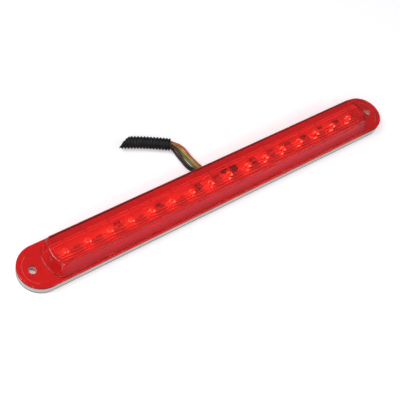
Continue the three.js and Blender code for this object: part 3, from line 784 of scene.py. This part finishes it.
def cut_slots(piece, levels):
    for side in (-1, 1):
        tool = loft("slot_cutter", slot_levels(levels))
        tool.location.x = side * SLOT_X
        boolean(piece, tool, "DIFFERENCE")


def round_levels(z_start, height, inset_at, steps, make_outline):
    """Levels of a rounded edge that rises by height while the outline shrinks by inset_at."""
    levels = []
    for step in range(steps + 1):
        angle = math.pi / 2 * step / steps
        z = z_start + height * math.sin(angle)
        levels.append((z, make_outline(-inset_at * (1 - math.cos(angle)))))
    return levels


def lens_outside():
    edge = 0.7 * MM
    levels = [(FLANGE_BOTTOM, stadium(HALF_LENGTH - 0.15 * MM, HALF_WIDTH - 0.15 * MM))]
    levels += [(FLANGE_BOTTOM + 0.15 * MM, stadium(HALF_LENGTH, HALF_WIDTH))]
    levels += round_levels(FLANGE_TOP - edge, edge, edge, 6,
                           grown_stadium(HALF_LENGTH, HALF_WIDTH))
    fillet = 0.7 * MM
    for step in range(5):
        angle = math.pi / 2 * step / 4
        z = FLANGE_TOP + fillet * (1 - math.cos(angle))
        levels.append((z, bowed(FOOT, fillet * (1 - math.sin(angle)))))
    round_edge = 1.8 * MM
    share = (TOP - round_edge - FLANGE_TOP) / (TOP - FLANGE_TOP)
    shoulder = blend_outlines(FOOT, CROWN, share)
    levels += round_levels(TOP - round_edge, round_edge, round_edge, 8,
                           grown_bowed(shoulder))
    return loft("red_lens", levels)


def add_strip(bm, y, x_start, x_end, slant=0.0):
    """A triangular flute under the lens top, its ends slanted."""
    high = LENS_CEILING + FLUTE_DEPTH
    rings = []
    for x in (x_start, x_end):
        section = [(y - FLUTE_HALF_WIDTH, high), (y - FLUTE_HALF_WIDTH, LENS_CEILING),
                   (y, LENS_CEILING - FLUTE_DEPTH), (y + FLUTE_HALF_WIDTH, LENS_CEILING),
                   (y + FLUTE_HALF_WIDTH, high)]
        rings.append([(x + slant * (across - y), across, z) for across, z in section])
    add_rings(bm, rings)


def lens_hollow(materials):
    below = 2 * MM
    round_edge = 0.6 * MM
    inner_crown = blend_outlines(FOOT, CROWN, 0.92)
    levels = [(FLANGE_BOTTOM - below, bowed(FOOT, -LENS_WALL)),
              (FLANGE_TOP, bowed(FOOT, -LENS_WALL))]
    levels += round_levels(LENS_CEILING - round_edge, round_edge, round_edge, 5,
                           grown_bowed(inner_crown, -LENS_WALL))
    hollow = loft("lens_hollow", levels)
    for material in materials:
        hollow.data.materials.append(material)
    for face in hollow.data.polygons:
        face.material_index = CLEAR if face.normal.z > 0.99 else SATIN
    bm = bmesh.new()
    reach = CROWN[0]
    stops = [-reach] + LED_XS + [reach]
    for y in FLUTE_YS[:-1]:
        add_strip(bm, y, -reach, reach)
    for x_start, x_end in zip(stops, stops[1:]):
        add_strip(bm, FLUTE_YS[-1], x_start + FLUTE_BREAK, x_end - FLUTE_BREAK)
    flutes = new_object("flutes", bm)
    bm = bmesh.new()
    for y in RIDGE_YS:
        for x_start, x_end in zip(stops, stops[1:]):
            add_strip(bm, y, x_start + RIDGE_BREAK, x_end - RIDGE_BREAK, slant=0.9)
    ridges = new_object("ridges", bm)
    bm = bmesh.new()
    rear_low, rear_high = REAR_PAD
    add_box(bm, (-reach, rear_low, LENS_CEILING - 0.15 * MM), (reach, rear_high, TOP))
    rear_pad = new_object("rear_pad", bm)
    for tool, index in ((flutes, FLUTE), (ridges, RIDGE), (rear_pad, SATIN)):
        for material in materials:
            tool.data.materials.append(material)
        for face in tool.data.polygons:
            face.material_index = index
        boolean(hollow, tool, "DIFFERENCE")
    return hollow


def add_ear_rib(side):
    """Thin locating rib under an ear, concentric with it."""
    radius, half, depth = 14.7 * MM, 0.4 * MM, 0.7 * MM
    middle = 0 if side > 0 else math.pi
    reach = math.pi / 3
    outline = arc(0, 0, radius + half, middle - reach, middle + reach, 32)
    outline += arc(0, 0, radius - half, middle + reach, middle - reach, 32)
    levels = [(z, [(x + side * EAR_X, y) for x, y in outline])
              for z in (FLANGE_BOTTOM - depth, FLANGE_BOTTOM + depth)]
    return loft("ear_rib", levels)


def add_lens(materials):
    lens = lens_outside()
    for material in materials:
        lens.data.materials.append(material)
    boolean(lens, lens_hollow(materials), "DIFFERENCE")
    for side in (-1, 1):
        boolean(lens, add_ear_rib(side), "UNION")
    soft = 0.35 * MM
    cut_slots(lens, [(FLANGE_BOTTOM - 1 * MM, 0), (FLANGE_TOP - soft, 0), (FLANGE_TOP, soft),
                     (FLANGE_TOP + 1 * MM, 1.6 * soft + 1 * MM)])
    shade(lens, 28)
    return finish_piece(lens, None, ["lens"])


# ---- tray and gasket -----------------------------------------------------------------------

def add_tray(plastic):
    edge = 0.5 * MM
    outline = grown_stadium(HALF_LENGTH, HALF_WIDTH)
    levels = [(TRAY_LOW.z, outline(-0.3 * MM)), (TRAY_LOW.z + 0.3 * MM, outline(0))]
    levels += round_levels(TRAY_HIGH.z - edge, edge, edge * 0.4, 4, outline)
    tray = loft("pale_tray", levels)
    boolean(tray, loft("pocket_cutter", [
        (TRAY_FLOOR, bowed(POCKET, -0.4 * MM)),
        (TRAY_FLOOR + 0.4 * MM, bowed(POCKET)),
        (TRAY_HIGH.z + 2 * MM, bowed(POCKET)),
    ]), "DIFFERENCE")
    seal_low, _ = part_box("lens_seal")
    groove = loft("groove_outer", [(seal_low.z - 0.1 * MM, bowed(POCKET, 2.7 * MM)),
                                   (TRAY_HIGH.z + 2 * MM, bowed(POCKET, 2.7 * MM))])
    core = loft("groove_inner", [(seal_low.z - 1 * MM, bowed(POCKET, 0.9 * MM)),
                                 (TRAY_HIGH.z + 3 * MM, bowed(POCKET, 0.9 * MM))])
    boolean(groove, core, "DIFFERENCE")
    boolean(tray, groove, "DIFFERENCE")
    bm = bmesh.new()
    add_box(bm, (BUSH_MIDDLE - NOTCH_HALF_WIDTH, BUSH_LOW.y - 0.2 * MM, NOTCH_BOTTOM),
            (BUSH_MIDDLE + NOTCH_HALF_WIDTH, HALF_WIDTH + 1 * MM, TRAY_HIGH.z + 1 * MM))
    boolean(tray, new_object("notch_cutter", bm), "DIFFERENCE")
    bm = bmesh.new()
    board_under = BOARD_LOW.z - 0.1 * MM
    for x in SUPPORT_XS:
        add_box(bm, (x - SUPPORT_HALF_WIDTH, -SUPPORT_HALF_LENGTH, TRAY_FLOOR - 0.1 * MM),
                (x + SUPPORT_HALF_WIDTH, SUPPORT_HALF_LENGTH, board_under))
    boolean(tray, new_object("board_supports", bm), "UNION")
    cut_slots(tray, [(TRAY_LOW.z - 1 * MM, 0.3 * MM), (TRAY_HIGH.z + 1 * MM, 0.3 * MM)])
    shade(tray)
    return finish_piece(tray, plastic, ["housing_tray"])


def add_gasket(foam):
    """Foam pad, its edge pulled in at the top and bottom where it is squeezed."""
    outline = grown_stadium(GASKET_HIGH.x, GASKET_HIGH.y)
    height = GASKET_HIGH.z - GASKET_LOW.z
    levels = []
    steps = 6
    for step in range(steps + 1):
        angle = math.pi * step / steps
        levels.append((GASKET_LOW.z + height * (1 - math.cos(angle)) / 2,
                       outline(-0.5 * MM * (1 - math.sin(angle)))))
    gasket = loft("foam_pad", levels)
    cut_slots(gasket, [(-1 * MM, 0.8 * MM), (GASKET_HIGH.z + 1 * MM, 0.8 * MM)])
    shade(gasket, 50)
    return finish_piece(gasket, foam, ["foam_gasket"])


# ---- board and its parts -------------------------------------------------------------------

def add_board(laminate):
    board = loft("led_board", [
        (BOARD_LOW.z, bowed(BOARD)),
        (BOARD_HIGH.z, bowed(BOARD)),
    ])
    # A stadium with next to no straight stretch, so a circle
    circle = stadium(SCREW_HOLE_RADIUS, SCREW_HOLE_RADIUS - 0.0001 * MM, 16)
    for side in (-1, 1):
        tool = loft("screw_hole", [(BOARD_LOW.z - 1 * MM, circle), (BOARD_HIGH.z + 1 * MM, circle)])
        tool.location.x = side * SCREW_X
        boolean(board, tool, "DIFFERENCE")
    shade(board)
    return finish_piece(board, laminate, ["circuit_board"])


def mark_faces(bm, first):
    """Gives the second material to the faces from number first on."""
    bm.faces.ensure_lookup_table()
    for face in bm.faces[first:]:
        face.material_index = 1


def shared_mesh(name, bm, materials):
    """A mesh with its materials, on no object yet, for copies to share."""
    pattern = new_object(name, bm)
    mesh = pattern.data
    bpy.data.objects.remove(pattern)
    for material in materials:
        mesh.materials.append(material)
    return mesh


def led_meshes(epoxy, metal):
    """The epoxy body with one flat on its rim, and the lead frame with its reflector cup."""
    profile = [(0, 0), (LED_RIM_RADIUS, 0), (LED_RIM_RADIUS, 0.85 * MM),
               (LED_RIM_RADIUS - 0.15 * MM, 1.0 * MM), (LED_RADIUS, 1.0 * MM)]
    steps = 12
    for step in range(steps):
        angle = math.pi / 2 * step / steps
        profile.append((LED_RADIUS * math.cos(angle),
                        LED_HEIGHT - LED_RADIUS + LED_RADIUS * math.sin(angle)))
    profile.append((0, LED_HEIGHT))
    bm = bmesh.new()
    add_lathe(bm, profile, 40)
    for vert in bm.verts:
        vert.co.x = min(vert.co.x, LED_RADIUS)
    body = shared_mesh("led_body_pattern", bm, [epoxy])
    bm = bmesh.new()
    add_lathe(bm, [(0, CUP_Z - 0.9 * MM), (0.55 * MM, CUP_Z - 0.9 * MM), (1.0 * MM, CUP_Z),
                   (0.85 * MM, CUP_Z), (0.45 * MM, CUP_Z - 0.5 * MM), (0, CUP_Z - 0.5 * MM)],
              20, Matrix.Translation((CUP_X, 0, 0)))
    for x_start, x_end, top in ((CUP_X - 0.9 * MM, CUP_X - 0.3 * MM, CUP_Z - 0.7 * MM),
                                (1.0 * MM, 1.6 * MM, CUP_Z - 0.9 * MM)):
        add_box(bm, (x_start, -POST_HALF_WIDTH, POST_START), (x_end, POST_HALF_WIDTH, top), 0.05 * MM)
    frame_faces = len(bm.faces)
    # The chip and the bond take the second material, which glows: painted glints, not a lit diode
    chip = [(0, -0.16 * MM), (0.16 * MM, -0.16 * MM), (0.16 * MM, 0.1 * MM), (0, 0.16 * MM)]
    for place in ((CUP_X, 0, CUP_Z - 0.4 * MM), (1.3 * MM, 0, CUP_Z - 0.75 * MM)):
        add_lathe(bm, chip, 12, Matrix.Translation(place))
    mark_faces(bm, frame_faces)
    return body, shared_mesh("led_frame_pattern", bm, [metal, make_painted_glint_die()])


def place_copy(name, mesh, location):
    piece = bpy.data.objects.new(name, mesh)
    bpy.context.scene.collection.objects.link(piece)
    piece.location = location
    return piece


def add_leds(epoxy, metal):
    body, lead_frame = led_meshes(epoxy, metal)
    for index, x in enumerate(LED_XS):
        place = (x, 0, BOARD_HIGH.z + 0.1 * MM)
        number = f"{index + 1:02d}"
        finish_piece(place_copy("led_dome_" + number, body, place), None, ["led_" + number])
        finish_piece(place_copy("led_frame_" + number, lead_frame, place), None)


def axial_mesh(name, radius, half_length, waist, body_material, metal):
    """A round body along X with a lead bent down to the board at each end."""
    centre_z = radius + 0.4 * MM
    lead = 0.35 * MM
    reach = half_length + 1.8 * MM - lead
    profile = [(0, -half_length)]
    for share, part in ((0.7, -1), (0.93, -0.93), (1, -0.82), (1, -0.62), (waist, -0.45)):
        profile.append((radius * share, half_length * part))
    profile += [(r, -z) for r, z in profile[:0:-1]] + [(0, half_length)]
    along_x = Matrix.Translation((0, 0, centre_z)) @ Matrix.Rotation(math.pi / 2, 4, "Y")
    bm = bmesh.new()
    add_lathe(bm, profile, 28, along_x)
    body_faces = len(bm.faces)
    for side in (-1, 1):
        start = side * (half_length - 0.3 * MM)
        bend = side * (reach - 0.6 * MM)
        add_tube(bm, [(start, 0, centre_z), ((start + bend) / 2, 0, centre_z), (bend, 0, centre_z),
                      (side * reach * 0.99, 0, centre_z - 0.3 * MM), (side * reach, 0, centre_z - 0.9 * MM),
                      (side * reach, 0, 0.1 * MM)], lead, sides=10, per_span=3)
    mark_faces(bm, body_faces)
    return shared_mesh(name, bm, [body_material, metal])


def add_axial_parts(metal):
    gold, black = (0.5, 0.3, 0.06), (0.02, 0.02, 0.02)
    violet, brown = (0.14, 0.04, 0.2), (0.1, 0.03, 0.015)
    resistor_half = 3.2 * MM
    lacquer = make_banded("resistor_lacquer", (0.30, 0.36, 0.46), [
        (-2.5, -2.0, brown), (-1.3, -0.8, violet), (-0.5, 0.0, black), (0.3, 0.8, gold), (1.9, 2.4, brown),
    ], resistor_half)
    resistor = axial_mesh("resistor_pattern", 1.2 * MM, resistor_half, 0.82, lacquer, metal)
    rectifier_half = 2.6 * MM
    moulding = make_banded("rectifier_moulding", (0.10, 0.09, 0.09), [(1.5, 2.1, (0.4, 0.4, 0.4))],
                           rectifier_half)
    rectifier = axial_mesh("rectifier_pattern", 1.35 * MM, rectifier_half, 1, moulding, metal)
    for kind, mesh in (("resistor", resistor), ("rectifier", rectifier)):
        names = sorted(name for name in NODES if name.startswith(kind))
        for name in names:
            low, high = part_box(name)
            place = ((low.x + high.x) / 2, (low.y + high.y) / 2, BOARD_HIGH.z)
            piece = place_copy(name.replace(kind, kind + "_body"), mesh, place)
            finish_piece(piece, None, [name])


def add_pads(metal):
    """Soldered pads on the board where each part's legs go through."""
    leg_inset = 0.35 * MM
    led_leg = 1.27 * MM
    places = []
    for x in LED_XS:
        places += [(x - led_leg, 0), (x + led_leg, 0)]
    for name in NODES:
        if name.startswith("resistor") or name.startswith("rectifier"):
            low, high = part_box(name)
            middle_y = (low.y + high.y) / 2
            places += [(low.x + leg_inset, middle_y), (high.x - leg_inset, middle_y)]
    thick = 0.09 * MM
    bm = bmesh.new()
    for x, y in places:
        add_lathe(bm, [(0, 0), (0.85 * MM, 0), (0.8 * MM, thick * 0.8), (0, thick)], 18,
                  Matrix.Translation((x, y, BOARD_HIGH.z)))
    return finish_piece(new_object("solder_pads", bm), metal)


def add_supply_parts(metal):
    moulded = make_moulded_black("regulator_epoxy")
    low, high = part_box("voltage_regulator")
    body_low = Vector((low.x, low.y + 1.4 * MM, low.z))
    body_high = Vector((high.x, high.y - 1.4 * MM, high.z))
    bm = bmesh.new()
    add_box(bm, body_low, body_high, 0.25 * MM, 3)
    finish_piece(new_object("regulator_moulding", bm), moulded, ["voltage_regulator"])
    bm = bmesh.new()
    middle = (low.x + high.x) / 2
    leg_top = low.z + 0.6 * MM
    add_box(bm, (middle - 2.5 * MM, body_high.y, low.z), (middle + 2.5 * MM, high.y, leg_top),
            0.1 * MM)
    for side in (-1, 1):
        x = middle + side * 2.1 * MM
        add_box(bm, (x - 0.5 * MM, low.y, low.z), (x + 0.5 * MM, body_low.y, leg_top), 0.1 * MM)
    finish_piece(new_object("regulator_legs", bm), metal)
    low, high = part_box("capacitor")
    radius = (high.x - low.x) / 2
    height = high.z - low.z
    place = Matrix.Translation(((low.x + high.x) / 2, (low.y + high.y) / 2, low.z))
    sleeve = new_material("capacitor_sleeve", (0.03, 0.035, 0.075), 0.3, Coat_Weight=0.2)
    add_roughness(sleeve, noise(sleeve, 900, 2), 0.22, 0.4)
    bm = bmesh.new()
    add_lathe(bm, [(0, 0), (radius * 0.9, 0), (radius, 0.3 * MM), (radius, 0.6 * MM),
                   (radius * 0.93, 0.85 * MM), (radius, 1.1 * MM),
                   (radius, height - 0.35 * MM), (radius * 0.92, height - 0.05 * MM),
                   (radius * 0.8, height - 0.05 * MM), (radius * 0.78, height - 0.25 * MM),
                   (0, height - 0.25 * MM)], 32, place)
    finish_piece(new_object("capacitor_can", bm), sleeve, ["capacitor"])


def dress_cad_nodes(steel, copper, metal, rubber):
    """The CAD nodes that stay as they are: screws, bared wire ends, solder joints and seal."""
    looks = {"board_screw": steel, "wire_tail": copper, "solder_joint": metal, "lens_seal": rubber}
    for name, node in NODES.items():
        for stem, material in looks.items():
            if name.startswith(stem):
                node.data.materials.clear()
                node.data.materials.append(material)


# ---- studio --------------------------------------------------------------------------------

def add_area_light(name, place, size, power, color=(1, 1, 1), aim=(0, 0, 0)):
    data = bpy.data.lights.new(name, "AREA")
    data.shape = "RECTANGLE"
    data.size, data.size_y = size
    data.energy = power
    data.color = color
    light = bpy.data.objects.new(name, data)
    bpy.context.scene.collection.objects.link(light)
    light.location = place
    light.rotation_euler = (Vector(aim) - Vector(place)).to_track_quat("-Z", "Y").to_euler()
    return light


def add_reflector(name, place, size, color):
    """A lit card that shows only in reflections."""
    bm = bmesh.new()
    bmesh.ops.create_grid(bm, x_segments=1, y_segments=1, size=0.5,
                          matrix=Matrix.Translation(place) @ Matrix.Diagonal((*size, 1, 1)))
    card = new_object(name, bm)
    card.data.materials.append(new_material(name, (0, 0, 0), 1.0, Specular_IOR_Level=0.0,
                                            Emission_Color=color, Emission_Strength=1.0))
    card.visible_camera = card.visible_diffuse = card.visible_transmission = card.visible_shadow = False


def add_studio():
    bm = bmesh.new()
    reach = 6.0
    add_rings(bm, [[(-reach, -reach, z), (reach, -reach, z), (reach, reach, z), (-reach, reach, z)]
                   for z in (-0.01, 0)])
    floor = new_object("studio_floor", bm)
    floor.data.materials.append(make_floor_white())
    floor.visible_glossy = False
    add_reflector("front_strip", (0, -31.8 * MM, 0.5 * MM), (0.6, 3 * MM), (0.34, 0.30, 0.42, 1))
    world = bpy.data.worlds.new("studio")
    world.use_nodes = True
    world.node_tree.nodes["Background"].inputs["Color"].default_value = (0.20, 0.20, 0.225, 1)
    bpy.context.scene.world = world
    add_area_light("key", (-0.9, 0.5, 1.3), (0.9, 0.9), 14)
    add_area_light("front", (0.7, -1.0, 1.1), (1.4, 0.5), 7)
    add_area_light("left", (-1.2, -0.7, 0.9), (0.3, 0.3), 5)
    bpy.context.scene.view_settings.view_transform = "Standard"


# ---- making --------------------------------------------------------------------------------

add_camera()

tinned = make_metal("tinned_metal", (0.66, 0.66, 0.67), 0.18, 0.35, 700)
steel = make_metal("zinc_steel", (0.45, 0.45, 0.44), 0.25, 0.42, 900)
copper = make_metal("bare_copper", (0.72, 0.38, 0.22), 0.25, 0.4, 900)
rubber = make_rubber()

jackets = {name: add_wire(name, copper) for name in WIRES}
conduit = add_conduit(make_conduit_plastic())
bush = add_bush(make_silicone())

add_lens([
    make_red_acrylic(),
    make_satin_acrylic(),
    make_ridge_acrylic("ridge_acrylic", (0.78, 0.15, 0.12), 0.1, 0.25, 0.45),
    make_ridge_acrylic("flute_acrylic", (0.80, 0.09, 0.08), 0.85, 0.04, 0.12),
])
add_tray(make_tray_plastic())
add_gasket(make_foam())
add_board(make_laminate())
add_pads(tinned)
add_leds(make_led_epoxy(), tinned)
add_axial_parts(tinned)
add_supply_parts(tinned)
dress_cad_nodes(steel, copper, tinned, rubber)
add_studio()
